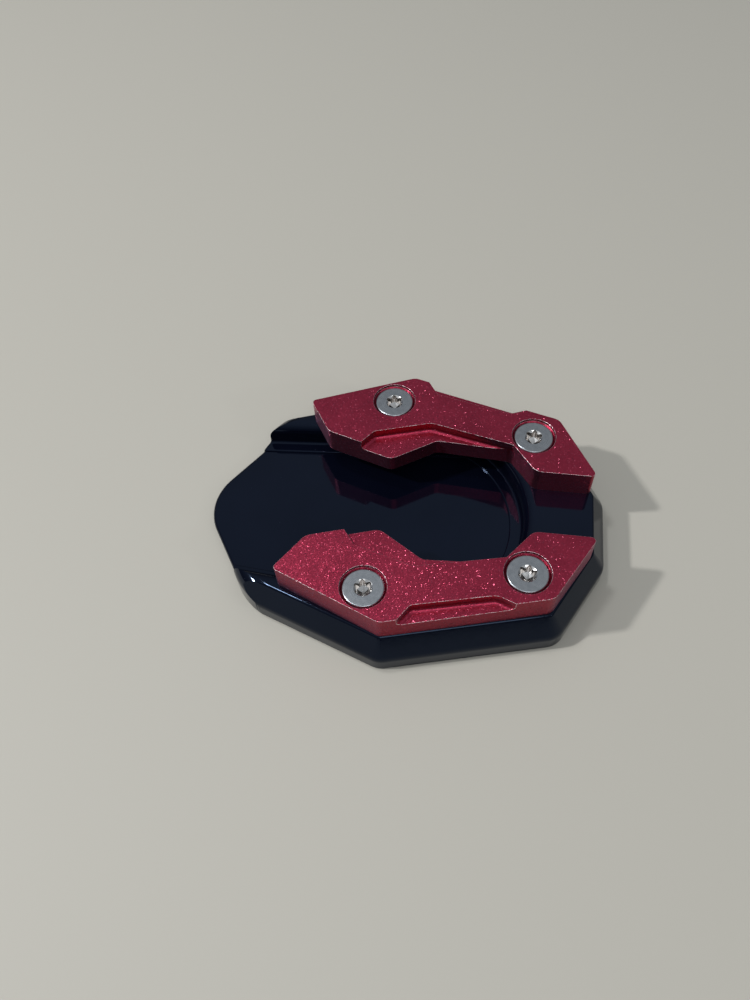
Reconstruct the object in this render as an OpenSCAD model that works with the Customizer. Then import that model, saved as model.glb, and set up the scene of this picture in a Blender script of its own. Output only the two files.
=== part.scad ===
// Foot enlarger for a motorcycle kickstand: a milled base plate with a pocket for the stand's own
// foot, two jaws that clamp the foot from above, and four countersunk screws that hold the jaws.
// The nose of the plate points to -X, the closed end of the pocket to +X, and +Y is the far side.

/* [Base plate heights] */
// Height of the rim that carries the jaws
rim_h = 10; // [8.5:0.25:14]
// Height of the pocket floor above the ground
floor_h = 3; // [2:0.25:4.5]
// Rise of the border along the foot of the rim above the pocket floor
border_rise = 0.5; // [0.2:0.1:1]
// Height of the upright band at the ground, below the sloped flank
band_h = 4.5; // [2.5:0.25:6]

/* [Base plate outline] */
// Back edge of the rim's top, from the origin
back_x = 46.9; // [44:0.5:52]
// Half length of the back edge of the rim's top
back_y = 8.5; // [6:0.5:12]
// Shoulder corner of the rim's top, from the origin
shoulder_x = 37.5; // [36:0.5:40]
// Shoulder corner of the rim's top, from the middle line
shoulder_y = 26.1; // [25:0.5:30]
// Hip corner of the rim's top, from the origin
hip_x = -1; // [-4:0.5:3]
// Hip corner of the rim's top, from the middle line
hip_y = 36.4; // [35:0.5:42]
// Angle of the front flanks to the middle line
front_angle = 19.6; // [17:0.2:22]
// Plan radius of the rim's top corners
rim_corner_r = 2; // [1:0.25:3]
// Run of the sloped flank in plan
flank_run = 3.5; // [2:0.25:5]
// Radius that blends the flank into the upright band
flank_blend_r = 3; // [1:0.25:4]
// Rounding of the rim's outer top edge
rim_edge_r = 0.8; // [0.3:0.1:1.2]
// Chamfer around the ground face
ground_chamfer = 0.4; // [0.2:0.1:0.8]

/* [Ears and nose] */
// Plan radius of the rounded front ends of the rim
ear_r = 19; // [18:0.25:20]
// Centre of that radius, from the origin
ear_x = -22.7; // [-24:0.1:-22]
// Centre of that radius, from the middle line
ear_y = 12.4; // [12:0.1:13]
// Rounding of the ears' top edge
ear_edge_r = 4.5; // [3:0.25:5]
// Tip of the nose, from the origin
nose_x = -50.4; // [-54:0.2:-49]
// Plan radius of the nose
nose_r = 14.4; // [13:0.2:15]
// Angle of the nose's sides to the middle line
nose_angle = 56.5; // [54:0.5:59]
// Length of the nose's straight sides, from the nose arc to where they run into the rim
nose_side = 17; // [15.5:0.1:17.5]
// Rounding of the nose's upper edge
nose_edge_r = 1; // [0.4:0.1:1.5]

/* [Pocket] */
// Half width of the pocket between the rim's walls, at the origin
pocket_y = 24.1; // [23:0.1:25]
// Angle by which each side wall leans away from the middle line
pocket_flare = 4; // [2:0.5:5]
// Centre of the round closed end, from the origin
pocket_end_x = 1.9; // [0:0.1:4]
// Radius of the round closed end
pocket_end_r = 28.4; // [27:0.1:29.5]
// Radius between the side walls and the round end
pocket_corner_r = 6; // [5:0.25:8]
// Width of the raised border along the foot of the wall
border_w = 3.2; // [2:0.1:3.8]
// Rounding of the border's edge towards the floor
border_edge_r = 0.3; // [0.1:0.05:0.3]
// Fillet at the foot of the wall
wall_foot_r = 0.8; // [0.3:0.1:1.2]
// Rounding at the top of the wall
wall_top_r = 3; // [1.5:0.25:3.5]

/* [Jaws] */
// Thickness of the jaws
jaw_t = 7.5; // [6:0.25:10]
// Half of the gap between the jaws at the back
jaw_gap_y = 8.7; // [7:0.1:10]
// Length of the jaw's front side, from the hip corner to the tip
jaw_front = 28.5; // [26:0.1:29]
// Angle of the jaw's front side to the middle line
jaw_front_angle = 22.1; // [20:0.1:24]
// Setback of the jaw from the rim's top at the hip
hip_setback = 0.2; // [0:0.05:0.6]
// Setback of the jaw from the rim's top at the shoulder
side_setback = 0.45; // [0.2:0.05:1]
// Setback of the jaw's back tip from the rim's top back edge
tip_setback = 0.05; // [0:0.05:1]
// Front corner of the jaw's inner side, from the origin
chin_x = -21.2; // [-23:0.1:-19]
// Front corner of the jaw's inner side, from the middle line
chin_y = 15.9; // [15:0.1:17]
// Tooth that reaches furthest over the pocket, from the origin
tooth_x = -4.3; // [-6:0.1:-3]
// Tooth that reaches furthest over the pocket, from the middle line
tooth_y = 10.6; // [9:0.1:12]
// Front of the bay behind the tooth, from the origin
bay_front_x = 6.8; // [5:0.1:8]
// Front of the bay behind the tooth, from the middle line
bay_front_y = 17.7; // [17:0.1:18.5]
// Back of the bay, from the origin
bay_back_x = 25.9; // [24:0.1:27]
// Back of the bay, from the middle line
bay_back_y = 16.5; // [15.5:0.1:17]
// Start of the straight gap at the back, from the origin
heel_x = 31.9; // [31:0.1:34]
// Plan radius of the jaw's blunt corners
jaw_corner_r = 3; // [2:0.25:3.5]
// Plan radius of the jaw's two sharp tips
jaw_tip_r = 1; // [0.8:0.1:2]

/* [Jaw reliefs] */
// Depth of the two reliefs milled into each jaw
relief_d = 2.7; // [1.5:0.1:4]
// Fillet at the foot of the reliefs' walls
relief_foot_r = 1; // [0.4:0.1:1.2]
// Front corner of the inner relief, from the origin
inner_front_x = -9.4; // [-11:0.1:-8]
// Front corner of the inner relief, from the middle line
inner_front_y = 17; // [16:0.1:18]
// Lean of the inner relief's front wall, across per length
inner_front_slope = 0.76; // [0.5:0.02:1]
// Deepest corner of the inner relief, from the origin
inner_deep_x = 4.9; // [4:0.1:6]
// Deepest corner of the inner relief, from the middle line
inner_deep_y = 21.2; // [20:0.1:22]
// Fall of the inner relief's long wall towards the middle line
inner_wall_slope = 0.231; // [0.15:0.01:0.3]
// Plan radius of the inner relief's deepest corner
inner_deep_r = 5; // [2:0.25:6]
// Front corner of the outer relief, from the origin
outer_front_x = 5.5; // [5:0.1:8]
// Front corner of the outer relief, from the middle line
outer_front_y = 31.1; // [30.5:0.1:32]
// Back corner of the outer relief, from the origin
outer_back_x = 24.5; // [20:0.1:25]
// Back corner of the outer relief, from the middle line
outer_back_y = 26.4; // [26.2:0.1:27.4]
// Lean of the outer relief's front wall, along per width
outer_front_slope = 0.65; // [0.4:0.05:0.9]
// Lean of the outer relief's rear wall, along per width
outer_back_slope = 2.6; // [1.5:0.1:3]
// Plan radius of the outer relief's back corner
outer_back_r = 4; // [2:0.25:5]
// Plan radius of the front corner of both reliefs
relief_front_r = 1.5; // [0.5:0.1:2.5]

/* [Screws] */
// Front screws, in front of the hip corner
front_screw_before = 4.6; // [3:0.1:6]
// Front screws, inwards of the hip corner
front_screw_in = 8.6; // [8:0.1:9.5]
// Rear screws, in front of the shoulder corner
rear_screw_before = 6.5; // [6:0.1:7]
// Rear screws, inwards of the shoulder corner
rear_screw_in = 6.3; // [6:0.1:6.8]
// Thread diameter
screw_d = 5; // [4:0.5:5.5]
// Head diameter
head_d = 9.8; // [9:0.1:10.4]
// Length from the top of the head to the end of the thread
screw_len = 16; // [12:0.5:16.5]
// Height of the head's upright rim above its cone
head_rim_h = 0.8; // [0.5:0.1:1.2]
// Rounding of the head's upper edge
head_edge_r = 0.4; // [0.2:0.05:0.45]
// Depth of the head's top below the jaw's top
head_sunk = 0.45; // [0.2:0.05:1]
// Gap around the head in its counterbore
head_gap = 0.6; // [0.3:0.05:0.9]
// Width of the six-lobed socket across its lobes
socket_d = 4.5; // [3.9:0.1:5]
// Depth of the socket
socket_depth = 2; // [1.4:0.1:2.4]
// Clearance around the screw in its holes
fit_gap = 0.05; // [0.02:0.01:0.15]

/* [Hidden] */
$fn = 64;

// Overlap that makes cuts run clear of a face
over = 1;
// Reach of helper shapes past the outline
reach = 20;
// Thickness of the slices that a rounded body is drawn over
slice = 0.01;
// Steps in the quarter rounds, the ears' rounding, the small blends and the border's fine edge
round_steps = 6;
ear_steps = 5;
blend_steps = 3;
edge_steps = 2;
// Steps in the pocket's round end, an odd number
end_steps = 29;
// Radius of the relief corners that lie outside the jaw
open_r = 0.5;
// Chamfer at the lower end of the screws
screw_end_chamfer = 0.6;
// Depth of the cone at the bottom of the socket
socket_cone = 0.5;
// Widths in the six-lobed socket, as shares of its width across the lobes
cone_share = 0.7;
body_share = 0.86;
waist_share = 0.72;
lobe_share = 0.2;
hollow_share = 0.32;

black = [0.06, 0.07, 0.10];
red = [0.55, 0.10, 0.18];
steel = [0.55, 0.57, 0.60];

// Unit vector at an angle
function dir(a) = [cos(a), sin(a)];
// Unit vector from one point to another
function unit(p, q) = (q - p) / norm(q - p);
// Crossing of the line through p along u with the line through q along v
function crossing(p, u, q, v) = p + u * cross(q - p, v) / cross(u, v);
// The same point on the other side of the middle line
function flip(p) = [p.x, -p.y];
// Corner i of an outline, counted round
function at(pts, i) = pts[(i + len(pts)) % len(pts)];
// The arc of radius r that rounds corner b of the path a, b, c
function rounding(a, b, c, r, steps) =
    let (u = unit(b, a), v = unit(b, c), half = acos(u * v) / 2,
         centre = b + (u + v) / norm(u + v) * r / sin(half),
         from = b + u * r / tan(half) - centre, to = b + v * r / tan(half) - centre,
         sweep = 180 - 2 * half)
    [for (i = [0:steps]) let (k = i / steps)
        centre + (from * sin(sweep * (1 - k)) + to * sin(sweep * k)) / sin(sweep)];
// An outline with each of its corners rounded
function rounded(pts, radii, steps) =
    [for (i = [0:len(pts) - 1]) each rounding(at(pts, i - 1), pts[i], at(pts, i + 1), radii[i], steps)];
// An anticlockwise outline, moved inwards by d
function inset(pts, d) = [for (i = [0:len(pts) - 1])
    let (u = unit(at(pts, i - 1), pts[i]), v = unit(pts[i], at(pts, i + 1)))
    crossing(pts[i] + d * [-u.y, u.x], u, pts[i] + d * [-v.y, v.x], v)];
// Setback of a quarter round of radius r at a height h below its top
function round_setback(r, h) = h >= r ? 0 : r - sqrt(r * r - (r - h) * (r - h));

// A closed loft: a profile of [out, height] points, carried round stations of [point, outward vector]
// that mirror each other across the middle line
module loft(stations, profile) {
    n = len(stations);
    m = len(profile);
    points = [for (s = stations, p = profile) [s[0].x + s[1].x * p[0], s[0].y + s[1].y * p[0], p[1]]];
    sides = [for (i = [0:n - 1], j = [0:m - 2]) let (k = (i + 1) % n)
        [i * m + j, i * m + j + 1, k * m + j + 1, k * m + j]];
    bottom = [for (i = [0:n / 2 - 2]) [i, i + 1, n - 2 - i, n - 1 - i] * m];
    top = [for (f = bottom) [f[3], f[2], f[1], f[0]] + [1, 1, 1, 1] * (m - 1)];
    polyhedron(points = points, faces = concat(sides, bottom, top), convexity = 6);
}

// Base plate

hip = [hip_x, hip_y];
shoulder = [shoulder_x, shoulder_y];
back = [back_x, back_y];
front_end = [nose_x - reach, hip_y - (hip_x - nose_x + reach) * tan(front_angle)];
rim_outline = [flip(front_end), flip(hip), flip(shoulder), flip(back), back, shoulder, hip, front_end];
border_h = floor_h + border_rise;

// Section of the rim's outer side as [height, distance outside the top outline]
function flank_section() =
    let (knee = [band_h, flank_run], brow = [rim_h, 0],
         side = concat(rounding([0, flank_run], knee, brow, flank_blend_r, blend_steps),
                       rounding(knee, brow, [rim_h, -rim_corner_r], rim_edge_r, blend_steps)))
    concat([[0, flank_run - ground_chamfer], [ground_chamfer, flank_run]], side);

// Outline inside which the rim ends at the front, with its round ears drawn in by e
module ear_outline(e) {
    side_foot = ear_x - ear_r * sin(front_angle);
    half_w = hip_y + flank_run + reach;
    for (s = [-1, 1]) translate([ear_x, s * ear_y]) circle(ear_r - e);
    translate([ear_x - ear_r + e, -ear_y]) square([ear_r, 2 * ear_y]);
    translate([side_foot, -half_w]) square([back_x + reach - side_foot, 2 * half_w]);
}

// The rim as a full block, with its sloped flanks and rounded ears
module rim_block() {
    flank = flank_section();
    core = inset(rim_outline, rim_corner_r);
    ear_levels = [for (i = [1:ear_steps]) rim_h - ear_edge_r * (1 - sin(90 * i / ear_steps))];
    levels = concat([for (f = flank) f[0]], ear_levels);
    hull() for (z = levels) {
        chamfer = max(0, ground_chamfer - z);
        translate([0, 0, min(z, rim_h - slice)]) linear_extrude(height = slice) intersection() {
            offset(r = rim_corner_r + lookup(z, flank)) polygon(core);
            ear_outline(chamfer + round_setback(ear_edge_r, rim_h - z));
        }
    }
}

// The low plate of the nose
module nose_plate() {
    tip = [nose_x + nose_r, 0];
    end = tip + nose_side * dir(nose_angle);
    levels = concat([0, ground_chamfer],
                    [for (i = [0:blend_steps]) floor_h - nose_edge_r * (1 - sin(90 * i / blend_steps))]);
    hull() for (z = levels) {
        setback = max(0, ground_chamfer - z) + round_setback(nose_edge_r, floor_h - z);
        translate([0, 0, min(z, floor_h - slice)]) linear_extrude(height = slice) intersection() {
            offset(r = nose_r - setback) polygon([tip, flip(end), end]);
            translate([nose_x, -hip_y]) square([end.x - nose_x + nose_r * sin(nose_angle) / 2, 2 * hip_y]);
        }
    }
}

// Section of the pocket from its core line: border's edge, border, wall's foot, wall and its rounded top
function pocket_section() =
    let (step = pocket_corner_r - border_w, wall = pocket_corner_r)
    concat([[step, floor_h]],
           rounding([step, floor_h], [step, border_h], [wall, border_h], border_edge_r, edge_steps),
           rounding([step, border_h], [wall, border_h], [wall, rim_h], wall_foot_r, blend_steps),
           [for (i = [0:round_steps]) let (a = 90 * i / round_steps)
               [wall + wall_top_r * (1 - cos(a)), rim_h - wall_top_r * (1 - sin(a))]],
           [[wall + wall_top_r, rim_h + over]]);

// The space that is milled out for the kickstand's foot
module pocket() {
    core_r = pocket_end_r - pocket_corner_r;
    side = pocket_y * cos(pocket_flare) - pocket_corner_r;
    meet = pocket_flare + asin((side + pocket_end_x * sin(pocket_flare)) / core_r);
    end = [pocket_end_x, 0];
    corner = end + core_r * dir(meet);
    mouth = corner - (corner.x - nose_x + reach) * dir(pocket_flare) / cos(pocket_flare);
    mouth_out = [0, 1 / cos(pocket_flare)] - dir(pocket_flare);
    turned = [for (i = [0:round_steps])
        let (a = 90 + pocket_flare + (meet - 90 - pocket_flare) * i / round_steps) [corner, dir(a)]];
    half = concat([[mouth, mouth_out]], turned);
    round_end = [for (i = [1:end_steps - 1]) let (a = meet * (2 * i / end_steps - 1))
        [end + core_r * dir(a), dir(a)]];
    near_half = [for (s = half) [flip(s[0]), flip(s[1])]];
    far_half = [for (i = [len(half) - 1:-1:0]) half[i]];
    loft(concat(near_half, round_end, far_half), pocket_section());
}

module base_plate() {
    color(black) difference() {
        union() {
            difference() {
                rim_block();
                pocket();
            }
            nose_plate();
        }
        for (place = screw_places) translate([place.x, place.y, -over])
            cylinder(d = screw_d + 2 * fit_gap, h = rim_h + 2 * over);
    }
}

// Screws

far_front = hip - [front_screw_before, front_screw_in];
far_rear = shoulder - [rear_screw_before, rear_screw_in];
screw_places = [far_front, far_rear, flip(far_front), flip(far_rear)];
jaw_top = rim_h + jaw_t;
head_top = jaw_top - head_sunk;

// A countersunk screw with a six-lobed socket, its head's top at the height head_top
module screw(place) {
    cone_h = (head_d - screw_d) / 2;
    profile = concat([[0, 0]],
        rounding([0, 0], [head_d / 2, 0], [head_d / 2, -head_rim_h], head_edge_r, blend_steps),
        [[head_d / 2, -head_rim_h], [screw_d / 2, -head_rim_h - cone_h],
         [screw_d / 2, screw_end_chamfer - screw_len], [screw_d / 2 - screw_end_chamfer, -screw_len],
         [0, -screw_len]]);
    color(steel) translate([place.x, place.y, head_top]) difference() {
        rotate_extrude() polygon(profile);
        translate([0, 0, -socket_depth]) linear_extrude(height = socket_depth + over) socket_outline();
        translate([0, 0, -socket_depth - socket_cone])
            cylinder(d1 = 0, d2 = socket_d * cone_share, h = socket_cone);
    }
}

// Six-lobed socket: round lobes on a body that is hollowed between them
module socket_outline() {
    lobe_d = socket_d * lobe_share;
    hollow_d = socket_d * hollow_share;
    waist_d = socket_d * waist_share;
    difference() {
        union() {
            circle(d = socket_d * body_share);
            for (a = [0:60:300]) rotate(a) translate([(socket_d - lobe_d) / 2, 0]) circle(d = lobe_d);
        }
        for (a = [30:60:330]) rotate(a) translate([(waist_d + hollow_d) / 2, 0]) circle(d = hollow_d);
    }
}

// Jaws

jaw_hip = hip - [0, hip_setback];
jaw_tip = jaw_hip - jaw_front * dir(jaw_front_angle);
jaw_shoulder = shoulder + side_setback * unit([0, 0], unit(shoulder, hip) + unit(shoulder, back));
jaw_back = [back_x - tip_setback, jaw_gap_y];
heel = [heel_x, jaw_gap_y];
bay_back = [bay_back_x, bay_back_y];
bay_front = [bay_front_x, bay_front_y];
tooth = [tooth_x, tooth_y];
chin = [chin_x, chin_y];

// Outline of the inner relief, whose long wall runs back until it meets the back of the bay
function inner_relief() =
    let (front = [inner_front_x, inner_front_y], deep = [inner_deep_x, inner_deep_y],
         far = crossing(deep, [1, -inner_wall_slope], bay_back, heel - bay_back))
    [front - reach * [inner_front_slope, 1], far + reach * unit(bay_back, heel), far, deep, front];

// Outline of the outer relief, open towards the jaw's outer side
function outer_relief() =
    let (front = [outer_front_x, outer_front_y], rear = [outer_back_x, outer_back_y],
         out = shoulder_y + reach)
    [front, rear, rear + (out - rear.y) * [outer_back_slope, 1],
     front + (out - front.y) * [-outer_front_slope, 1]];

// A relief with a filleted foot, cut down from the jaw's top over an outline
module relief(outline, radii) {
    levels = [for (i = [0:blend_steps]) relief_foot_r * (1 - sin(90 * i / blend_steps))];
    translate([0, 0, jaw_top - relief_d]) hull() {
        for (z = levels) translate([0, 0, z]) linear_extrude(height = slice)
            polygon(rounded(inset(outline, round_setback(relief_foot_r, z)), radii, round_steps));
        translate([0, 0, relief_d + over]) linear_extrude(height = slice)
            polygon(rounded(outline, radii, round_steps));
    }
}

// Counterbore, cone and clearance hole for one screw
module screw_seat(place) {
    bore_d = screw_d + 2 * fit_gap;
    seat_d = head_d + 2 * head_gap;
    cone_top = head_top - head_rim_h;
    cone_h = (seat_d - bore_d) / 2;
    translate([place.x, place.y, 0]) {
        translate([0, 0, rim_h - over]) cylinder(d = bore_d, h = jaw_t + over);
        translate([0, 0, cone_top - cone_h + head_gap]) cylinder(d1 = bore_d, d2 = seat_d, h = cone_h);
        translate([0, 0, cone_top + head_gap]) cylinder(d = seat_d, h = jaw_t);
    }
}

module far_jaw() {
    outline = [jaw_tip, chin, tooth, bay_front, bay_back, heel, jaw_back, jaw_shoulder, jaw_hip];
    radii = [jaw_tip_r, jaw_corner_r, jaw_corner_r, jaw_corner_r, jaw_corner_r, jaw_corner_r,
             jaw_tip_r, jaw_corner_r, jaw_corner_r];
    color(red) difference() {
        translate([0, 0, rim_h]) linear_extrude(height = jaw_t) polygon(rounded(outline, radii, round_steps));
        for (place = [far_front, far_rear]) screw_seat(place);
        relief(inner_relief(), [open_r, open_r, open_r, inner_deep_r, relief_front_r]);
        relief(outer_relief(), [relief_front_r, outer_back_r, open_r, open_r]);
    }
}

module near_jaw() {
    mirror([0, 1, 0]) far_jaw();
}

base_plate();
far_jaw();
near_jaw();
screw(far_front);  // far_front_screw
screw(far_rear);  // far_rear_screw
screw(flip(far_front));  // near_front_screw
screw(flip(far_rear));  // near_rear_screw
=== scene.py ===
import math

import bmesh
import bpy
from mathutils import Matrix, Vector


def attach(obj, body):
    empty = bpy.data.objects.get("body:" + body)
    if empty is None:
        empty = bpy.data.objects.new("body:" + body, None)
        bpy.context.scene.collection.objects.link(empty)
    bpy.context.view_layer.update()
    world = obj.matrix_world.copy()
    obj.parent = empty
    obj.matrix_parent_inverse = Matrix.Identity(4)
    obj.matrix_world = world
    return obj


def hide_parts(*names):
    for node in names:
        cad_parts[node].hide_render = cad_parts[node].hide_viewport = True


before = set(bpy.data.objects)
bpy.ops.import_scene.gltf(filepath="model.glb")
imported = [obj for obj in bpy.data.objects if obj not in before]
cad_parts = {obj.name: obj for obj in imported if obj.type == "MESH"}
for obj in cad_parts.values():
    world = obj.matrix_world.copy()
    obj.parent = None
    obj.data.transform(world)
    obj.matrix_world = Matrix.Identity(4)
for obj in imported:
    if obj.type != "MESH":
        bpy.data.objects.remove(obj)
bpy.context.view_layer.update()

# Sizes are in millimetres and angles in degrees, as in the CAD. Corners are (x, y) on the far side.

# Heights of the base plate
RIM_H = 10.0
FLOOR_H = 3.0
BORDER_RISE = 0.5
BORDER_H = FLOOR_H + BORDER_RISE
BAND_H = 4.5

# Corners of the rim's top
BACK = (46.9, 8.5)
SHOULDER = (37.5, 26.1)
HIP = (-1.0, 36.4)
# Angle of the front flanks to the middle line
FRONT_ANGLE = 19.6
RIM_CORNER_R = 2.0
# Run of the sloped flank in plan, and the radius that blends it into the upright band
FLANK_RUN = 3.5
FLANK_BLEND_R = 3.0
RIM_EDGE_R = 0.8
GROUND_CHAMFER = 0.4

# Round front ends of the rim
EAR = (-22.7, 12.4)
EAR_R = 19.0
EAR_EDGE_R = 4.5

# Nose: its tip, plan radius, the angle and length of its straight sides, and its edge
NOSE_X = -50.4
NOSE_R = 14.4
NOSE_ANGLE = 56.5
NOSE_SIDE = 17.0
NOSE_EDGE_R = 1.0

# Pocket: half width at the origin, lean of the side walls, and the round closed end
POCKET_Y = 24.1
POCKET_FLARE = 4.0
POCKET_END_X = 1.9
POCKET_END_R = 28.4
POCKET_CORNER_R = 6.0
BORDER_W = 3.2
# The border's edge is a little rounder than in the CAD, so that it catches the light as in the photo
BORDER_EDGE_R = 0.45
WALL_FOOT_R = 0.8
WALL_TOP_R = 3.0

# Jaws: their thickness and the height of their top
JAW_T = 7.5
JAW_TOP = RIM_H + JAW_T
# Half of the gap between the jaws at the back
JAW_GAP_Y = 8.7
# Length of the jaw's front side and its angle to the middle line
JAW_FRONT = 28.5
JAW_FRONT_ANGLE = 22.1
# Setbacks of the jaw from the rim's top
HIP_SETBACK = 0.2
SIDE_SETBACK = 0.45
TIP_SETBACK = 0.05
# Corners of the jaw's inner side, from the front to the back
CHIN = (-21.2, 15.9)
TOOTH = (-4.3, 10.6)
BAY_FRONT = (6.8, 17.7)
BAY_BACK = (25.9, 16.5)
HEEL = (31.9, JAW_GAP_Y)
JAW_CORNER_R = 3.0
JAW_TIP_R = 1.0
# Wear on the jaws' edges, a detail of the scene alone
WORN_EDGE = 0.28

# Reliefs milled into each jaw
RELIEF_D = 2.7
RELIEF_FOOT_R = 1.0
RELIEF_FRONT_R = 1.5
# Radius of the relief corners that lie outside the jaw
OPEN_R = 0.5
INNER_FRONT = (-9.4, 17.0)
INNER_FRONT_SLOPE = 0.76
INNER_DEEP = (4.9, 21.2)
INNER_DEEP_R = 5.0
INNER_WALL_SLOPE = 0.231
OUTER_FRONT = (5.5, 31.1)
OUTER_FRONT_SLOPE = 0.65
OUTER_BACK = (24.5, 26.4)
OUTER_BACK_R = 4.0
OUTER_BACK_SLOPE = 2.6

# Places of the screws
SCREWS = {"far_front_screw": (-5.6, 27.8), "far_rear_screw": (31.0, 19.8),
          "near_front_screw": (-5.6, -27.8), "near_rear_screw": (31.0, -19.8)}
# How far each screw happens to be turned, a detail of the scene alone
SCREW_TURN = {"far_front_screw": 39, "far_rear_screw": 23, "near_front_screw": 44, "near_rear_screw": 21}
SCREW_D = 5.0
SCREW_LEN = 16.0
SCREW_END_CHAMFER = 0.6
HEAD_D = 9.8
HEAD_RIM_H = 0.8
HEAD_EDGE_R = 0.4
HEAD_SUNK = 0.45
# Gaps round the head in its seat and round the screw in its holes
HEAD_GAP = 0.6
FIT_GAP = 0.05
# Width of the broken edges, a detail of the scene alone
BROKEN_EDGE = 0.1

# Six-lobed socket: width across its lobes and depth
SOCKET_D = 4.5
SOCKET_DEPTH = 2.0
# Its outline as shares of the half width: the mean, the six lobes and their crests
SOCKET_MEAN = 0.855
SOCKET_LOBE = 0.14
SOCKET_CREST = 0.005
# The point at its floor: how far its cutting body goes below the floor and above it, and its radius
POINT_DEPTH = 0.9
POINT_RISE = 0.1
POINT_R = 0.37 * SOCKET_D
# The chamfer round its mouth: the depth and the height between which it widens, and its radius at each
MOUTH_DEPTH = 0.45
MOUTH_RISE = 0.05
MOUTH_LOW_R = 0.33 * SOCKET_D
MOUTH_HIGH_R = 0.51 * SOCKET_D
# Faces deeper than this belong to the socket, and those with a flatter normal than this are its walls. The
# walls get painted shade and the socket's other faces a painted highlight
SOCKET_BELOW = 0.01
WALL_NORMAL_Z = 0.1

# How far cutting bodies stick out of what they cut, and how far open outlines run past the part
OVER = 1.0
REACH = 20.0
# A length and a half width that are larger than the part
LONG_REACH = 200.0
WIDE = 60.0

# Steps in curves
ROUND_STEPS = 10
EAR_STEPS = 64
EAR_EDGE_STEPS = 16
CORNER_STEPS = 16
NOSE_STEPS = 32
BORDER_STEPS = 4
FOOT_STEPS = 6
TURN_STEPS = 12
END_STEPS = 80
RELIEF_STEPS = 8
BORE_STEPS = 48
SEAT_STEPS = 64
HEAD_STEPS = 96
HEAD_EDGE_STEPS = 5
SOCKET_STEPS = 144
MOUTH_STEPS = 50
POINT_STEPS = 6

# Metres in a millimetre
MM = 0.001
# A side or a radius shorter than this is none
TINY = 1e-9
# Points of a hull merge within this distance, and points of a finished mesh within this many metres
HULL_MERGE = 1e-4
MESH_MERGE = 2e-6
# Neighbouring faces of a hull that bend by less than this are one face
FLAT_ANGLE = 0.05


# Plane geometry

def flat(p):
    """The first two coordinates of a point as a vector."""
    return Vector((p[0], p[1]))


def heading(degrees):
    """Unit vector at an angle to the X axis."""
    return Vector((math.cos(math.radians(degrees)), math.sin(math.radians(degrees))))


def mirrored(p):
    """The same point on the other side of the middle line."""
    return Vector((p[0], -p[1]))


def cross(a, b):
    return a.x * b.y - a.y * b.x


def crossing(p, u, q, v):
    """The point where the line through p along u meets the line through q along v."""
    return p + u * (cross(q - p, v) / cross(u, v))


def rounding(a, b, c, r, steps):
    """Points of the arc of radius r that rounds corner b of the path a, b, c."""
    a, b, c = flat(a), flat(b), flat(c)
    u, v = (a - b).normalized(), (c - b).normalized()
    half = math.acos(max(-1, min(1, u.dot(v)))) / 2
    centre = b + (u + v).normalized() * (r / math.sin(half))
    p, q = b + u * (r / math.tan(half)) - centre, b + v * (r / math.tan(half)) - centre
    sweep = math.pi - 2 * half
    return [centre + (p * math.sin(sweep * (1 - k)) + q * math.sin(sweep * k)) / math.sin(sweep)
            for k in (i / steps for i in range(steps + 1))]


def rounded(points, radii, steps):
    """A closed outline with each corner rounded by its own radius."""
    n = len(points)
    return [p for i in range(n)
            for p in rounding(points[i - 1], points[i], points[(i + 1) % n], radii[i], steps)]


def inset(points, d):
    """A closed anticlockwise outline with each side moved inwards by d."""
    n = len(points)
    out = []
    for i in range(n):
        a, b, c = flat(points[i - 1]), flat(points[i]), flat(points[(i + 1) % n])
        u, v = (b - a).normalized(), (c - b).normalized()
        out.append(crossing(b + Vector((-u.y, u.x)) * d, u, b + Vector((-v.y, v.x)) * d, v))
    return out


def grown(core, r, steps):
    """A convex anticlockwise outline moved outwards by r, with round corners."""
    n = len(core)
    out = []
    for i in range(n):
        a, b, c = flat(core[i - 1]), flat(core[i]), flat(core[(i + 1) % n])
        u, v = (b - a).normalized(), (c - b).normalized()
        start, end = math.atan2(-u.x, u.y), math.atan2(-v.x, v.y)
        while end < start:
            end += 2 * math.pi
        out += [b + Vector((math.cos(t), math.sin(t))) * r
                for t in (start + (end - start) * k / steps for k in range(steps + 1))]
    return out


def clip(subject, keep):
    """A convex outline cut by another convex anticlockwise outline."""
    out = list(subject)
    for i in range(len(keep)):
        a, b = keep[i - 1], keep[i]
        side = b - a
        if side.length < TINY:
            continue
        left = []
        for j in range(len(out)):
            p, q = out[j - 1], out[j]
            inside_p, inside_q = cross(side, p - a), cross(side, q - a)
            if (inside_p >= 0) != (inside_q >= 0):
                left.append(p + (q - p) * (inside_p / (inside_p - inside_q)))
            if inside_q >= 0:
                left.append(q)
        out = left
    return out


def lookup(z, table):
    """The value at height z in a table of (height, value) pairs."""
    for (z0, v0), (z1, v1) in zip(table, table[1:]):
        if z <= z1:
            return v0 + (v1 - v0) * ((z - z0) / (z1 - z0) if z1 > z0 else 1)
    return table[-1][1]


def quarter_round(r, steps):
    """Distances to the end of a quarter round, at even angles, from r down to 0."""
    return [r * (1 - math.sin(math.pi / 2 * i / steps)) for i in range(steps + 1)]


def round_setback(r, h):
    """How far a quarter round of radius r stands back at the distance h from its end."""
    return 0 if h >= r else r - math.sqrt(max(0, r * r - (r - h) ** 2))


# Meshes

def new_object(name, bm, materials):
    mesh = bpy.data.meshes.new(name)
    bm.to_mesh(mesh)
    bm.free()
    for material in materials:
        mesh.materials.append(material)
    obj = bpy.data.objects.new(name, mesh)
    bpy.context.scene.collection.objects.link(obj)
    return obj


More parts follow.
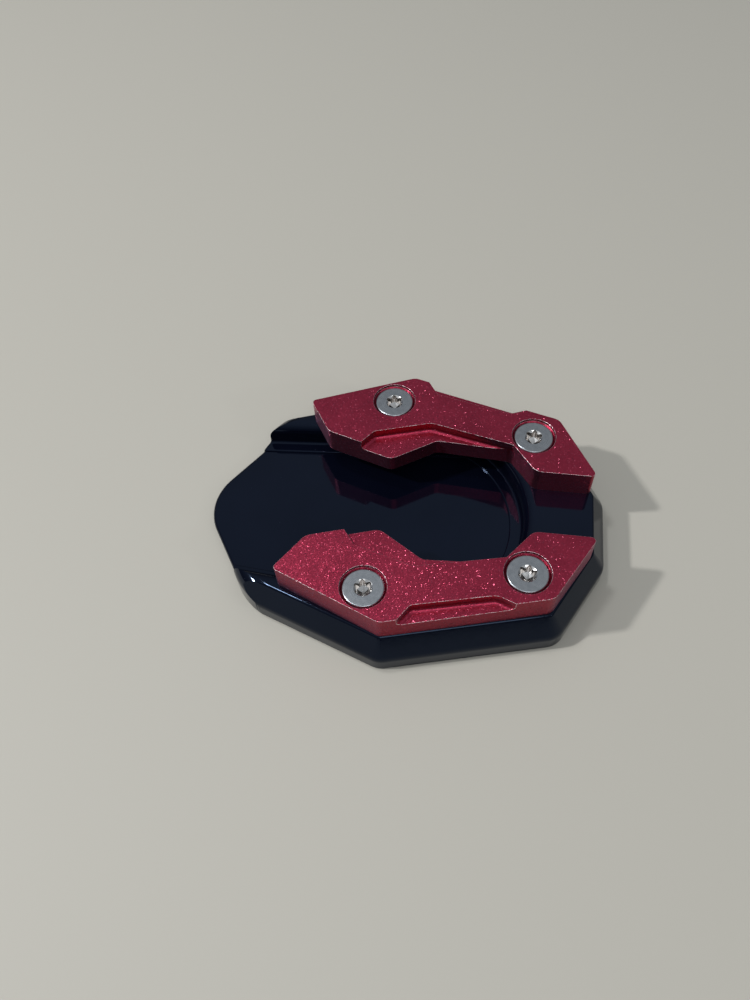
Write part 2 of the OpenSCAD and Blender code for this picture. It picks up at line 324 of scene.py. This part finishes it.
def hull(slices):
    """Convex hull of flat outlines given as (height, outline)."""
    bm = bmesh.new()
    for z, points in slices:
        for p in points:
            bm.verts.new((p.x, p.y, z))
    bmesh.ops.remove_doubles(bm, verts=bm.verts, dist=HULL_MERGE)
    bmesh.ops.convex_hull(bm, input=bm.verts)
    bmesh.ops.delete(bm, geom=[v for v in bm.verts if not v.link_faces], context="VERTS")
    bmesh.ops.dissolve_limit(bm, angle_limit=math.radians(FLAT_ANGLE), verts=bm.verts, edges=bm.edges)
    bmesh.ops.recalc_face_normals(bm, faces=bm.faces)
    return bm


def loft(stations, profile):
    """A profile of (offset, height) points swept along stations, each a point and its way out."""
    bm = bmesh.new()
    rings = [[bm.verts.new((p.x + out.x * o, p.y + out.y * o, z)) for o, z in profile] for p, out in stations]
    n = len(rings)
    for i in range(n):
        a, b = rings[i], rings[(i + 1) % n]
        for j in range(len(profile) - 1):
            bm.faces.new((a[j], a[j + 1], b[j + 1], b[j]))
    bm.faces.new([ring[0] for ring in rings])
    bm.faces.new([ring[-1] for ring in reversed(rings)])
    bmesh.ops.recalc_face_normals(bm, faces=bm.faces)
    return bm


def prism(outline, z0, z1):
    bm = bmesh.new()
    low = [bm.verts.new((p.x, p.y, z0)) for p in outline]
    high = [bm.verts.new((p.x, p.y, z1)) for p in outline]
    n = len(outline)
    for i in range(n):
        j = (i + 1) % n
        bm.faces.new((low[i], low[j], high[j], high[i]))
    bm.faces.new(list(reversed(low)))
    bm.faces.new(high)
    bmesh.ops.recalc_face_normals(bm, faces=bm.faces)
    return bm


def lathe(profile, steps, place=(0, 0)):
    """Solid of revolution about Z of (radius, height) points that start and end on the axis."""
    bm = bmesh.new()
    rings = []
    for r, z in profile:
        count = 1 if r < TINY else steps
        rings.append([bm.verts.new((place[0] + r * math.cos(2 * math.pi * i / steps),
                                    place[1] + r * math.sin(2 * math.pi * i / steps), z))
                      for i in range(count)])
    for a, b in zip(rings, rings[1:]):
        for i in range(steps):
            j = (i + 1) % steps
            if len(a) == 1:
                bm.faces.new((a[0], b[j], b[i]))
            elif len(b) == 1:
                bm.faces.new((a[i], a[j], b[0]))
            else:
                bm.faces.new((a[i], a[j], b[j], b[i]))
    bmesh.ops.recalc_face_normals(bm, faces=bm.faces)
    return bm


def cut(obj, tools, operation="DIFFERENCE"):
    """Cuts scratch bodies out of obj, or joins them to it, and applies the result."""
    scratch = []
    for bm in tools:
        tool = new_object("scratch", bm, [])
        scratch.append(tool)
        boolean = obj.modifiers.new("cut", "BOOLEAN")
        boolean.operation, boolean.solver, boolean.object = operation, "EXACT", tool
    bpy.context.view_layer.update()
    evaluated = obj.evaluated_get(bpy.context.evaluated_depsgraph_get())
    mesh = bpy.data.meshes.new_from_object(evaluated)
    obj.modifiers.clear()
    old = obj.data
    obj.data = mesh
    bpy.data.meshes.remove(old)
    for tool in scratch:
        data = tool.data
        bpy.data.objects.remove(tool)
        bpy.data.meshes.remove(data)


def finish_mesh(obj, smooth_angle):
    """Scales a mesh to metres, merges what the cuts left behind and smooths it up to an angle."""
    obj.data.transform(Matrix.Scale(MM, 4))
    bm = bmesh.new()
    bm.from_mesh(obj.data)
    bmesh.ops.remove_doubles(bm, verts=bm.verts, dist=MESH_MERGE)
    bmesh.ops.dissolve_degenerate(bm, dist=MESH_MERGE, edges=bm.edges)
    bmesh.ops.delete(bm, geom=[e for e in bm.edges if e.is_wire], context="EDGES")
    for face in bm.faces:
        face.smooth = True
    bm.to_mesh(obj.data)
    bm.free()
    obj.data.set_sharp_from_angle(angle=math.radians(smooth_angle))


def bevel_edges(obj, name, width, angle, segments):
    bevel = obj.modifiers.new(name, "BEVEL")
    bevel.limit_method, bevel.angle_limit = "ANGLE", math.radians(angle)
    bevel.width, bevel.segments = width * MM, segments
    return bevel


def keep_faces_flat(obj):
    weighted = obj.modifiers.new("flat_faces", "WEIGHTED_NORMAL")
    weighted.weight, weighted.keep_sharp = 90, True


# Shader nodes

def shader(name):
    """A new material, its node tree and its surface shader."""
    material = bpy.data.materials.new(name)
    material.use_nodes = True
    tree = material.node_tree
    return material, tree, tree.nodes["Principled BSDF"]


def node(tree, kind, inputs=(), **properties):
    """A new node. Inputs are either outputs to link or plain values."""
    new = tree.nodes.new(kind)
    for key, value in properties.items():
        setattr(new, key, value)
    for key, value in dict(inputs).items():
        if hasattr(value, "is_output"):
            tree.links.new(value, new.inputs[key])
        else:
            new.inputs[key].default_value = value
    return new


def ramp(tree, factor, stops):
    """A colour ramp of (position, colour or grey) stops."""
    new = node(tree, "ShaderNodeValToRGB", {"Fac": factor})
    while len(new.color_ramp.elements) < len(stops):
        new.color_ramp.elements.new(0.5)
    for element, (position, colour) in zip(new.color_ramp.elements, stops):
        element.position = position
        element.color = (colour,) * 3 + (1,) if isinstance(colour, (int, float)) else (*colour, 1)
    return new.outputs["Color"]


def noise(tree, coord, scale, detail, rough=0.5):
    return node(tree, "ShaderNodeTexNoise", {"Vector": coord, "Scale": scale, "Detail": detail,
                                             "Roughness": rough}).outputs["Fac"]


def maths(tree, operation, *values):
    return node(tree, "ShaderNodeMath", dict(enumerate(values)), operation=operation).outputs[0]


def vector_maths(tree, operation, inputs, output="Vector"):
    return node(tree, "ShaderNodeVectorMath", inputs, operation=operation).outputs[output]


def mix_values(tree, factor, first, second):
    """A Mix node between two numbers, which are its inputs 2 and 3."""
    return node(tree, "ShaderNodeMix", {"Factor": factor, 2: first, 3: second}).outputs[0]


def mix_colours(tree, factor, first, second):
    """A Mix node between two colours, which are its inputs 6 and 7."""
    return node(tree, "ShaderNodeMix", {"Factor": factor, 6: first, 7: second}, data_type="RGBA").outputs[2]


def object_coordinates(tree):
    return node(tree, "ShaderNodeTexCoord").outputs["Object"]


# Materials. Scales of patterns are per metre, and the patterns are fixed to the pieces.

# Black anodised plate: its colour varies faintly between two tones
PLATE_TONES = ((0.0012, 0.0018, 0.0056), (0.0020, 0.0028, 0.0078))
PLATE_TINT = (0.47, 0.65, 1.0, 1)
# Red of the jaws; of their edges, lighter as wear and as a painted highlight; of bare metal on those edges,
# rubbed through and whitened as a painted highlight; and of grains that lean far, lighter as a painted glint
JAW_RED = (0.36, 0.034, 0.068)
EDGE_RED_WEAR_AND_HIGHLIGHT = (0.50, 0.08, 0.13)
BARE_METAL_AND_HIGHLIGHT = (0.92, 0.74, 0.77, 1)
GRAIN_GLINT_RED = (0.50, 0.09, 0.15, 1)
JAW_SHEEN = (0.80, 0.50, 0.80, 1)
# Painted light: shares of the jaws' red on their upright walls against their tops, for red, green and blue.
# The deeper, more saturated red stands in for light bounced between the jaws' own red faces
PAINTED_WALL_SHARE = (0.92, 0.45, 0.5)
# The jaws' red varies in patches between these shares of itself
PATCH_DARK = 0.90
PATCH_LIGHT = 1.08
# Size of the blasted grains, as cells per metre, and how far they lean
GRAIN_SCALE = 6000.0
GRAIN_LEAN = 1.1
# Steel of the screws, and lighter and darker copies of it on their sockets: a painted highlight on the
# socket's faces and painted shade on its upright walls
STEEL_TONES = ((0.33, 0.35, 0.375), (0.44, 0.46, 0.485))
SOCKET_HIGHLIGHT_TONES = ((0.62, 0.61, 0.60), (0.78, 0.77, 0.76))
SOCKET_SHADE_TONES = ((0.26, 0.24, 0.22), (0.40, 0.37, 0.35))


def patches(tree, factor, pair):
    """Goes from the first to the second of a pair over the middle of a noise."""
    return ramp(tree, factor, [(0.3, pair[0]), (0.7, pair[1])])


def black_plate():
    material, tree, surface = shader("black_plate")
    coord = object_coordinates(tree)
    surface.inputs["IOR"].default_value = 1.6
    surface.inputs["Specular IOR Level"].default_value = 0.27
    surface.inputs["Specular Tint"].default_value = PLATE_TINT
    patch = noise(tree, coord, scale=60, detail=3)
    tree.links.new(patches(tree, patch, PLATE_TONES), surface.inputs["Base Color"])
    # fine haze from handling, with a few dust specks
    haze = ramp(tree, noise(tree, coord, scale=260, detail=5, rough=0.65), [(0.35, 0.05), (0.75, 0.10)])
    dust = node(tree, "ShaderNodeTexVoronoi", {"Vector": coord, "Scale": 260.0}, feature="F1")
    speck = ramp(tree, dust.outputs["Distance"], [(0.0, 1.0), (0.05, 0.0)])
    tree.links.new(maths(tree, "MAXIMUM", haze, speck), surface.inputs["Roughness"])
    fine = noise(tree, coord, scale=900, detail=3, rough=0.6)
    bump = node(tree, "ShaderNodeBump", {"Height": fine, "Strength": 0.02, "Distance": 0.0002})
    tree.links.new(bump.outputs["Normal"], surface.inputs["Normal"])
    return material


def jaw_colour(tree, coord, patch, red, wear_and_highlight):
    """Patchy red, with painted light on the upright walls: a deeper, more saturated red that stands in for
    bounced light. On edges, bare metal is rubbed through, as wear and also as a painted highlight.
    """
    dark = tuple(c * PATCH_DARK for c in red)
    light = tuple(min(1, c * PATCH_LIGHT) for c in red)
    normal = node(tree, "ShaderNodeTexCoord").outputs["Normal"]
    upright = node(tree, "ShaderNodeSeparateXYZ", {"Vector": normal}).outputs["Z"]
    level = ramp(tree, maths(tree, "ABSOLUTE", upright), [(0.3, 0.0), (0.8, 1.0)])
    # painted bounce light: upright faces get a deeper, more saturated red than the tops
    wall = tuple(c * share for c, share in zip(red, PAINTED_WALL_SHARE)) + (1,)
    colour = mix_colours(tree, level, wall, patches(tree, patch, (dark, light)))
    if wear_and_highlight:
        # bare metal rubbed through on the edges: wear, whitened as a painted highlight
        bare_and_highlight = ramp(tree, noise(tree, coord, scale=1900, detail=4, rough=0.7), [(0.42, 0.0), (0.52, 1.0)])
        colour = mix_colours(tree, bare_and_highlight, colour, BARE_METAL_AND_HIGHLIGHT)
    return colour


def red_jaw(name, red, wear_and_highlight=False):
    material, tree, surface = shader(name)
    coord = object_coordinates(tree)
    surface.inputs["Metallic"].default_value = 1.0
    surface.inputs["Sheen Weight"].default_value = 0.14
    surface.inputs["Sheen Roughness"].default_value = 0.4
    surface.inputs["Sheen Tint"].default_value = JAW_SHEEN
    patch = noise(tree, coord, scale=90, detail=4, rough=0.6)
    # the blasted grains: each small cell leans its own way, a few of them far enough to catch a light
    cell = node(tree, "ShaderNodeTexVoronoi", {"Vector": coord, "Scale": GRAIN_SCALE}, feature="F1")
    lean = vector_maths(tree, "SUBTRACT", {0: cell.outputs["Color"], 1: (0.5, 0.5, 0.5)})
    steep = maths(tree, "POWER", vector_maths(tree, "LENGTH", {0: lean}, "Value"), 3.0)
    strength = maths(tree, "MULTIPLY", steep, GRAIN_LEAN)
    tilt = vector_maths(tree, "SCALE", {0: lean, "Scale": strength})
    normal = node(tree, "ShaderNodeNewGeometry").outputs["Normal"]
    leaning = vector_maths(tree, "ADD", {0: normal, 1: tilt})
    tree.links.new(vector_maths(tree, "NORMALIZE", {0: leaning}), surface.inputs["Normal"])
    # a grain that leans far is a small flat facet, smoother than the rest, and its lighter red is a painted
    # glint
    facet_and_glint = ramp(tree, steep, [(0.28, 0.0), (0.42, 1.0)])
    rough = mix_values(tree, facet_and_glint, patches(tree, patch, (0.33, 0.39)), 0.26)
    tree.links.new(rough, surface.inputs["Roughness"])
    colour = mix_colours(tree, facet_and_glint, jaw_colour(tree, coord, patch, red, wear_and_highlight), GRAIN_GLINT_RED)
    tree.links.new(colour, surface.inputs["Base Color"])
    return material


def steel_screw():
    material, tree, surface = shader("steel_screw")
    coord = object_coordinates(tree)
    surface.inputs["Metallic"].default_value = 1.0
    patch = noise(tree, coord, scale=700, detail=4, rough=0.6)
    tree.links.new(patches(tree, patch, STEEL_TONES), surface.inputs["Base Color"])
    # turned rings about the screw's own axis
    place = node(tree, "ShaderNodeSeparateXYZ", {"Vector": coord})
    level = node(tree, "ShaderNodeCombineXYZ", {"X": place.outputs["X"], "Y": place.outputs["Y"]})
    radius = vector_maths(tree, "LENGTH", {0: level.outputs[0]}, "Value")
    rings = node(tree, "ShaderNodeTexNoise", {"W": radius, "Scale": 9000.0, "Detail": 2.0},
                 noise_dimensions="1D").outputs["Fac"]
    tree.links.new(patches(tree, rings, (0.22, 0.32)), surface.inputs["Roughness"])
    bump = node(tree, "ShaderNodeBump", {"Height": rings, "Strength": 0.15, "Distance": 0.00003})
    tree.links.new(bump.outputs["Normal"], surface.inputs["Normal"])
    return material


# steel for the socket's faces; its tones paint a highlight on some faces and shade on the walls
def screw_socket_painted_light(name, tones, smooth):
    material, tree, surface = shader(name)
    surface.inputs["Metallic"].default_value = 1.0
    patch = noise(tree, object_coordinates(tree), scale=1200, detail=3, rough=0.6)
    tree.links.new(patches(tree, patch, tones), surface.inputs["Base Color"])
    tree.links.new(patches(tree, patch, (smooth, smooth + 0.08)), surface.inputs["Roughness"])
    return material


BLACK = black_plate()
RED = red_jaw("red_jaw", JAW_RED)
# edges: lighter red and bare metal, as wear and as a painted highlight
EDGE_WEAR_AND_HIGHLIGHT = red_jaw("red_jaw_edge", EDGE_RED_WEAR_AND_HIGHLIGHT, wear_and_highlight=True)
STEEL = steel_screw()
# painted light in the sockets: a lighter steel as highlight, and a darker one on the walls as shade
SOCKET_PAINTED_HIGHLIGHT = screw_socket_painted_light("screw_socket_painted_light", SOCKET_HIGHLIGHT_TONES, 0.14)
SOCKET_PAINTED_SHADE = screw_socket_painted_light("screw_socket_painted_shade", SOCKET_SHADE_TONES, 0.18)


# Base plate

def flank_profile():
    """The rim's outer side as (height, run past the rim's top corner) from the ground up."""
    ground, knee = (0, FLANK_RUN), (BAND_H, FLANK_RUN)
    brow, top = (RIM_H, 0.0), (RIM_H, -RIM_CORNER_R)
    side = (rounding(ground, knee, brow, FLANK_BLEND_R, ROUND_STEPS)
            + rounding(knee, brow, top, RIM_EDGE_R, ROUND_STEPS))
    return [(0, FLANK_RUN - GROUND_CHAMFER), (GROUND_CHAMFER, FLANK_RUN)] + [(p.x, p.y) for p in side]


def ear_outline(r):
    """Both ears with radius r, and the long sides that run on from where their arcs begin."""
    arc = [flat(EAR) + heading(90 + FRONT_ANGLE + (90 - FRONT_ANGLE) * i / EAR_STEPS) * r
           for i in range(EAR_STEPS + 1)]
    far_side = [arc[0] + heading(FRONT_ANGLE) * LONG_REACH] + arc
    return [mirrored(p) for p in reversed(far_side)] + far_side


def rim_block():
    """Level slices of the rim, each as wide as the flank is at its height and cut by the ears."""
    flank = flank_profile()
    drop = (HIP[0] - NOSE_X + REACH) * math.tan(math.radians(FRONT_ANGLE))
    far_side = [flat(BACK), flat(SHOULDER), flat(HIP), Vector((NOSE_X - REACH, HIP[1] - drop))]
    core = inset([mirrored(p) for p in reversed(far_side)] + far_side, RIM_CORNER_R)
    ear_levels = [RIM_H - d for d in quarter_round(EAR_EDGE_R, EAR_EDGE_STEPS)]
    slices = []
    for z in sorted(set([point[0] for point in flank] + ear_levels)):
        setback = max(0, GROUND_CHAMFER - z) + round_setback(EAR_EDGE_R, RIM_H - z)
        body = grown(core, RIM_CORNER_R + lookup(z, flank), CORNER_STEPS)
        slices.append((z, clip(body, ear_outline(EAR_R - setback))))
    return hull(slices)


def nose_plate():
    """The low plate in front of the pocket, which ends inside the rim."""
    tip = Vector((NOSE_X + NOSE_R, 0))
    end = tip + heading(NOSE_ANGLE) * NOSE_SIDE
    back_x = end.x + NOSE_R * math.sin(math.radians(NOSE_ANGLE)) / 2
    front_x = NOSE_X - OVER
    keep = [Vector((front_x, -WIDE)), Vector((back_x, -WIDE)),
            Vector((back_x, WIDE)), Vector((front_x, WIDE))]
    slices = []
    for z in [0, GROUND_CHAMFER] + [FLOOR_H - d for d in quarter_round(NOSE_EDGE_R, ROUND_STEPS)]:
        setback = max(0, GROUND_CHAMFER - z) + round_setback(NOSE_EDGE_R, FLOOR_H - z)
        slices.append((z, clip(grown([tip, mirrored(end), end], NOSE_R - setback, NOSE_STEPS), keep)))
    return hull(slices)


def pocket_profile():
    """Floor, border, wall foot, wall and wall top as (offset, height) from the pocket's line."""
    edge, wall = POCKET_CORNER_R - BORDER_W, POCKET_CORNER_R
    border = rounding((edge, FLOOR_H), (edge, BORDER_H), (wall, BORDER_H), BORDER_EDGE_R, BORDER_STEPS)
    foot = rounding((edge, BORDER_H), (wall, BORDER_H), (wall, RIM_H), WALL_FOOT_R, FOOT_STEPS)
    profile = [(edge, FLOOR_H)] + [tuple(p) for p in border + foot]
    for i in range(ROUND_STEPS + 1):
        turn = math.pi / 2 * i / ROUND_STEPS
        profile.append((wall + WALL_TOP_R * (1 - math.cos(turn)), RIM_H - WALL_TOP_R * (1 - math.sin(turn))))
    return profile + [(wall + WALL_TOP_R, RIM_H + OVER)]


def pocket():
    """The body that cuts the pocket: one profile round the side, the corner and the round end."""
    core_r = POCKET_END_R - POCKET_CORNER_R
    flare = math.radians(POCKET_FLARE)
    side = POCKET_Y * math.cos(flare) - POCKET_CORNER_R
    # angle at which the side's rounding meets the round end
    meet = POCKET_FLARE + math.degrees(math.asin((side + POCKET_END_X * math.sin(flare)) / core_r))
    end = Vector((POCKET_END_X, 0))
    corner = end + heading(meet) * core_r
    mouth = corner - heading(POCKET_FLARE) * ((corner.x - NOSE_X + REACH) / math.cos(flare))
    # the profile keeps its distance from the side's line there, and leans forwards past the nose
    mouth_out = Vector((0, 1 / math.cos(flare))) - heading(POCKET_FLARE)
    square = 90 + POCKET_FLARE
    turned = [(corner, heading(square + (meet - square) * i / TURN_STEPS)) for i in range(TURN_STEPS + 1)]
    far_side = [(mouth, mouth_out)] + turned
    near_side = [(mirrored(p), mirrored(out)) for p, out in far_side]
    round_end = [(end + heading(a) * core_r, heading(a))
                 for a in (meet * (2 * i / END_STEPS - 1) for i in range(1, END_STEPS))]
    return loft(near_side + round_end + far_side[::-1], pocket_profile())


def screw_bore(place):
    """The body that cuts one screw's hole through the plate."""
    r = SCREW_D / 2 + FIT_GAP
    circle = [flat(place) + heading(360 * i / BORE_STEPS) * r for i in range(BORE_STEPS)]
    return prism(circle, -OVER, RIM_H + OVER)


def make_base():
    obj = new_object("base_plate_milled", rim_block(), [BLACK])
    cut(obj, [pocket()])
    cut(obj, [nose_plate()], "UNION")
    cut(obj, [screw_bore(place) for place in SCREWS.values()])
    finish_mesh(obj, smooth_angle=22)
    keep_faces_flat(obj)
    return obj


# Jaws

def jaw_outline():
    hip = flat(HIP) - Vector((0, HIP_SETBACK))
    tip = hip - heading(JAW_FRONT_ANGLE) * JAW_FRONT
    shoulder = flat(SHOULDER)
    inward = ((flat(HIP) - shoulder).normalized() + (flat(BACK) - shoulder).normalized()).normalized()
    shoulder = shoulder + inward * SIDE_SETBACK
    back = Vector((BACK[0] - TIP_SETBACK, JAW_GAP_Y))
    corners = [tip, CHIN, TOOTH, BAY_FRONT, BAY_BACK, HEEL, back, shoulder, hip]
    # the front tip and the back tip are sharper than the other corners
    radii = [JAW_TIP_R] + [JAW_CORNER_R] * 5 + [JAW_TIP_R] + [JAW_CORNER_R] * 2
    return rounded(corners, radii, ROUND_STEPS)


def relief(outline, radii):
    """The body that cuts one relief down from the jaw's top, with a round foot."""
    slices = []
    for z in quarter_round(RELIEF_FOOT_R, RELIEF_STEPS):
        level = inset(outline, round_setback(RELIEF_FOOT_R, z))
        slices.append((JAW_TOP - RELIEF_D + z, rounded(level, radii, RELIEF_STEPS)))
    return hull(slices + [(JAW_TOP + OVER, rounded(outline, radii, RELIEF_STEPS))])


def inner_relief():
    """The relief above the pocket, whose long wall runs back until it meets the back of the bay."""
    front, deep, back = flat(INNER_FRONT), flat(INNER_DEEP), flat(BAY_BACK)
    along_bay = flat(HEEL) - back
    far = crossing(deep, Vector((1, -INNER_WALL_SLOPE)), back, along_bay)
    outline = [front - Vector((INNER_FRONT_SLOPE, 1)) * REACH, far + along_bay.normalized() * REACH,
               far, deep, front]
    return relief(outline, [OPEN_R, OPEN_R, OPEN_R, INNER_DEEP_R, RELIEF_FRONT_R])


def outer_relief():
    """The relief on the jaw's outer side, open outwards."""
    front, back, out = flat(OUTER_FRONT), flat(OUTER_BACK), SHOULDER[1] + REACH
    outline = [front, back, back + Vector((OUTER_BACK_SLOPE, 1)) * (out - back.y),
               front + Vector((-OUTER_FRONT_SLOPE, 1)) * (out - front.y)]
    return relief(outline, [RELIEF_FRONT_R, OUTER_BACK_R, OPEN_R, OPEN_R])


def screw_seat(place):
    """The body that cuts one screw's hole and countersink out of a jaw."""
    bore_r, seat_r = SCREW_D / 2 + FIT_GAP, HEAD_D / 2 + HEAD_GAP
    low, high = RIM_H - OVER, JAW_TOP + OVER
    cone_top = JAW_TOP - HEAD_SUNK - HEAD_RIM_H + HEAD_GAP
    profile = [(0, low), (bore_r, low), (bore_r, cone_top - (seat_r - bore_r)), (seat_r, cone_top),
               (seat_r, high), (0, high)]
    return lathe(profile, SEAT_STEPS, place)


def make_jaw(name, on_near_side):
    obj = new_object(name, prism(jaw_outline(), RIM_H, JAW_TOP), [RED, EDGE_WEAR_AND_HIGHLIGHT])
    cut(obj, [screw_seat(SCREWS["far_front_screw"]), screw_seat(SCREWS["far_rear_screw"]),
              inner_relief(), outer_relief()])
    if on_near_side:
        obj.data.transform(Matrix.Diagonal((1, -1, 1, 1)))
        obj.data.flip_normals()
    finish_mesh(obj, smooth_angle=28)
    # the bevelled edges take the edge material, which shows wear and a painted highlight
    wear_and_highlight = bevel_edges(obj, "worn_edges", WORN_EDGE, angle=35, segments=3)
    wear_and_highlight.material = obj.data.materials.find(EDGE_WEAR_AND_HIGHLIGHT.name)
    keep_faces_flat(obj)
    return obj


# Screws, built with the top of the head at the origin

def screw_body():
    head_r, shank_r = HEAD_D / 2, SCREW_D / 2
    edge = rounding((0, 0), (head_r, 0), (head_r, -HEAD_RIM_H), HEAD_EDGE_R, HEAD_EDGE_STEPS)
    profile = [(0, 0)] + [tuple(p) for p in edge]
    profile += [(head_r, -HEAD_RIM_H), (shank_r, -HEAD_RIM_H - (head_r - shank_r)),
                (shank_r, -SCREW_LEN + SCREW_END_CHAMFER), (shank_r - SCREW_END_CHAMFER, -SCREW_LEN),
                (0, -SCREW_LEN)]
    return lathe(profile, HEAD_STEPS)


def socket_mouth():
    """The chamfer round the socket's mouth."""
    return lathe([(0, -MOUTH_DEPTH), (MOUTH_LOW_R, -MOUTH_DEPTH), (MOUTH_HIGH_R, MOUTH_RISE),
                  (MOUTH_HIGH_R, OVER), (0, OVER)], MOUTH_STEPS)


def socket_walls():
    """Six round lobes, joined by six hollows."""
    outline = []
    for i in range(SOCKET_STEPS):
        t = 2 * math.pi * i / SOCKET_STEPS
        share = SOCKET_MEAN + SOCKET_LOBE * math.cos(6 * t) + SOCKET_CREST * math.cos(12 * t)
        outline.append(Vector((math.cos(t), math.sin(t))) * (SOCKET_D / 2 * share))
    return prism(outline, -SOCKET_DEPTH, OVER)


def socket_point():
    """The six-sided point at the socket's floor."""
    return lathe([(0, -SOCKET_DEPTH - POINT_DEPTH), (POINT_R, -SOCKET_DEPTH),
                  (0, -SOCKET_DEPTH + POINT_RISE)], POINT_STEPS)


def paint_socket(mesh):
    """Paints shade on the socket's upright walls and a brighter painted highlight on its other faces."""
    for face in mesh.polygons:
        x, y, z = face.center
        if -SOCKET_DEPTH - POINT_DEPTH < z < -SOCKET_BELOW and math.hypot(x, y) < SOCKET_D / 2:
            look = SOCKET_PAINTED_SHADE if abs(face.normal.z) < WALL_NORMAL_Z else SOCKET_PAINTED_HIGHLIGHT
            face.material_index = mesh.materials.find(look.name)


def make_screw(name, place, turn):
    obj = new_object(name, screw_body(), [STEEL, SOCKET_PAINTED_HIGHLIGHT, SOCKET_PAINTED_SHADE])
    # three cuts, because the solver fills the socket in when all of them are made at once
    cut(obj, [socket_mouth()])
    cut(obj, [socket_walls()])
    cut(obj, [socket_point()])
    paint_socket(obj.data)
    finish_mesh(obj, smooth_angle=30)
    bevel_edges(obj, "broken_edges", BROKEN_EDGE, angle=50, segments=2)
    keep_faces_flat(obj)
    obj.location = (place[0] * MM, place[1] * MM, (JAW_TOP - HEAD_SUNK) * MM)
    obj.rotation_euler = (0, 0, math.radians(turn))
    return obj


# The pieces in the frame

def look_of(node_name):
    """The material that goes on a CAD node."""
    if "screw" in node_name:
        return STEEL
    return RED if "jaw" in node_name else BLACK


base = make_base()
far_jaw = make_jaw("far_jaw_milled", on_near_side=False)
near_jaw = make_jaw("near_jaw_milled", on_near_side=True)
screws = {name: make_screw(name + "_turned", place, SCREW_TURN[name]) for name, place in SCREWS.items()}

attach(base, "root")
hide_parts("base_plate")
for obj, name in ((far_jaw, "far_jaw"), (near_jaw, "near_jaw")):
    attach(obj, "root")
    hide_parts(name)
for name, obj in screws.items():
    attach(obj, "root")
    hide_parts(name)
for name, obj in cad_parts.items():
    obj.data.materials.clear()
    obj.data.materials.append(look_of(name))

# Floor and world. The floor lies just under the ground face. Lengths are in metres from here on.
TABLE_SIZE = 3.0
TABLE_DROP = 0.00005
TABLE_COLOUR = (0.51, 0.485, 0.42, 1)
# Light of the room by height: 0 is the horizon and what lies below it, 1 is straight above
ROOM = [(0.0, (0.06, 0.065, 0.08)), (0.22, (0.09, 0.10, 0.12)),
        (0.62, (0.27, 0.29, 0.31)), (1.0, (0.46, 0.48, 0.50))]


def pale_floor():
    material, _, surface = shader("pale_floor")
    surface.inputs["Base Color"].default_value = TABLE_COLOUR
    surface.inputs["Roughness"].default_value = 0.6
    return material


bpy.ops.mesh.primitive_plane_add(size=TABLE_SIZE, location=(0, 0, -TABLE_DROP))
floor = bpy.context.object
floor.name = "floor"
floor.data.materials.append(pale_floor())

scene = bpy.context.scene
world = bpy.data.worlds.new("studio")
scene.world = world
world.use_nodes = True
room_tree = world.node_tree
sky = node(room_tree, "ShaderNodeTexCoord").outputs["Generated"]
height = node(room_tree, "ShaderNodeSeparateXYZ", {"Vector": sky}).outputs["Z"]
background = room_tree.nodes["Background"]
room_tree.links.new(ramp(room_tree, height, ROOM), background.inputs["Color"])
background.inputs["Strength"].default_value = 1.0

# Lamps, all at one distance: the way to each, its size, power and colour
LAMP_DISTANCE = 1.2
LAMPS = {
    "key": ((-1.04, -0.20, 1.0), 0.06, 7.0, (0.98, 0.98, 1.0)),
    "lamp": ((-0.35, 0.14, 0.92), 0.12, 2.2, (0.92, 0.96, 1.0)),
    "side_lamp": ((0.80, -0.36, 0.48), 0.06, 0.6, (0.95, 0.97, 1.0)),
    "soft_box": ((0.15, -0.55, 0.85), 0.55, 2.5, (0.95, 0.97, 1.0)),
}
for name, (way, size, power, colour) in LAMPS.items():
    data = bpy.data.lights.new(name, "AREA")
    data.size, data.energy, data.color = size, power, colour
    lamp = bpy.data.objects.new(name, data)
    scene.collection.objects.link(lamp)
    way = Vector(way).normalized()
    lamp.location = way * LAMP_DISTANCE
    lamp.rotation_euler = way.to_track_quat("Z", "Y").to_euler()

# Camera at the photo's angle
AZIMUTH = math.radians(11.681)
ELEVATION = math.radians(55.820)
ROLL = math.radians(-4.305)
DISTANCE = 0.20701
TARGET = Vector((-0.00734, 0.00134, 0.00928))
LENS = 29.35
SENSOR = 36.0

scene.view_settings.view_transform = "Standard"
back = Vector((math.sin(AZIMUTH) * math.cos(ELEVATION), -math.cos(AZIMUTH) * math.cos(ELEVATION),
               math.sin(ELEVATION)))
level_right = (-back).cross(Vector((0, 0, 1))).normalized()
level_up = level_right.cross(-back)
right = level_right * math.cos(ROLL) + level_up * math.sin(ROLL)
up = -level_right * math.sin(ROLL) + level_up * math.cos(ROLL)
camera_data = bpy.data.cameras.new("photo_angle")
camera_data.lens, camera_data.sensor_width = LENS, SENSOR
camera_data.clip_start, camera_data.clip_end = 0.01, 20.0
camera = bpy.data.objects.new("photo_angle", camera_data)
scene.collection.objects.link(camera)
turned = Matrix((right, up, back)).transposed().to_4x4()
camera.matrix_world = Matrix.Translation(TARGET + back * DISTANCE) @ turned
scene.camera = camera
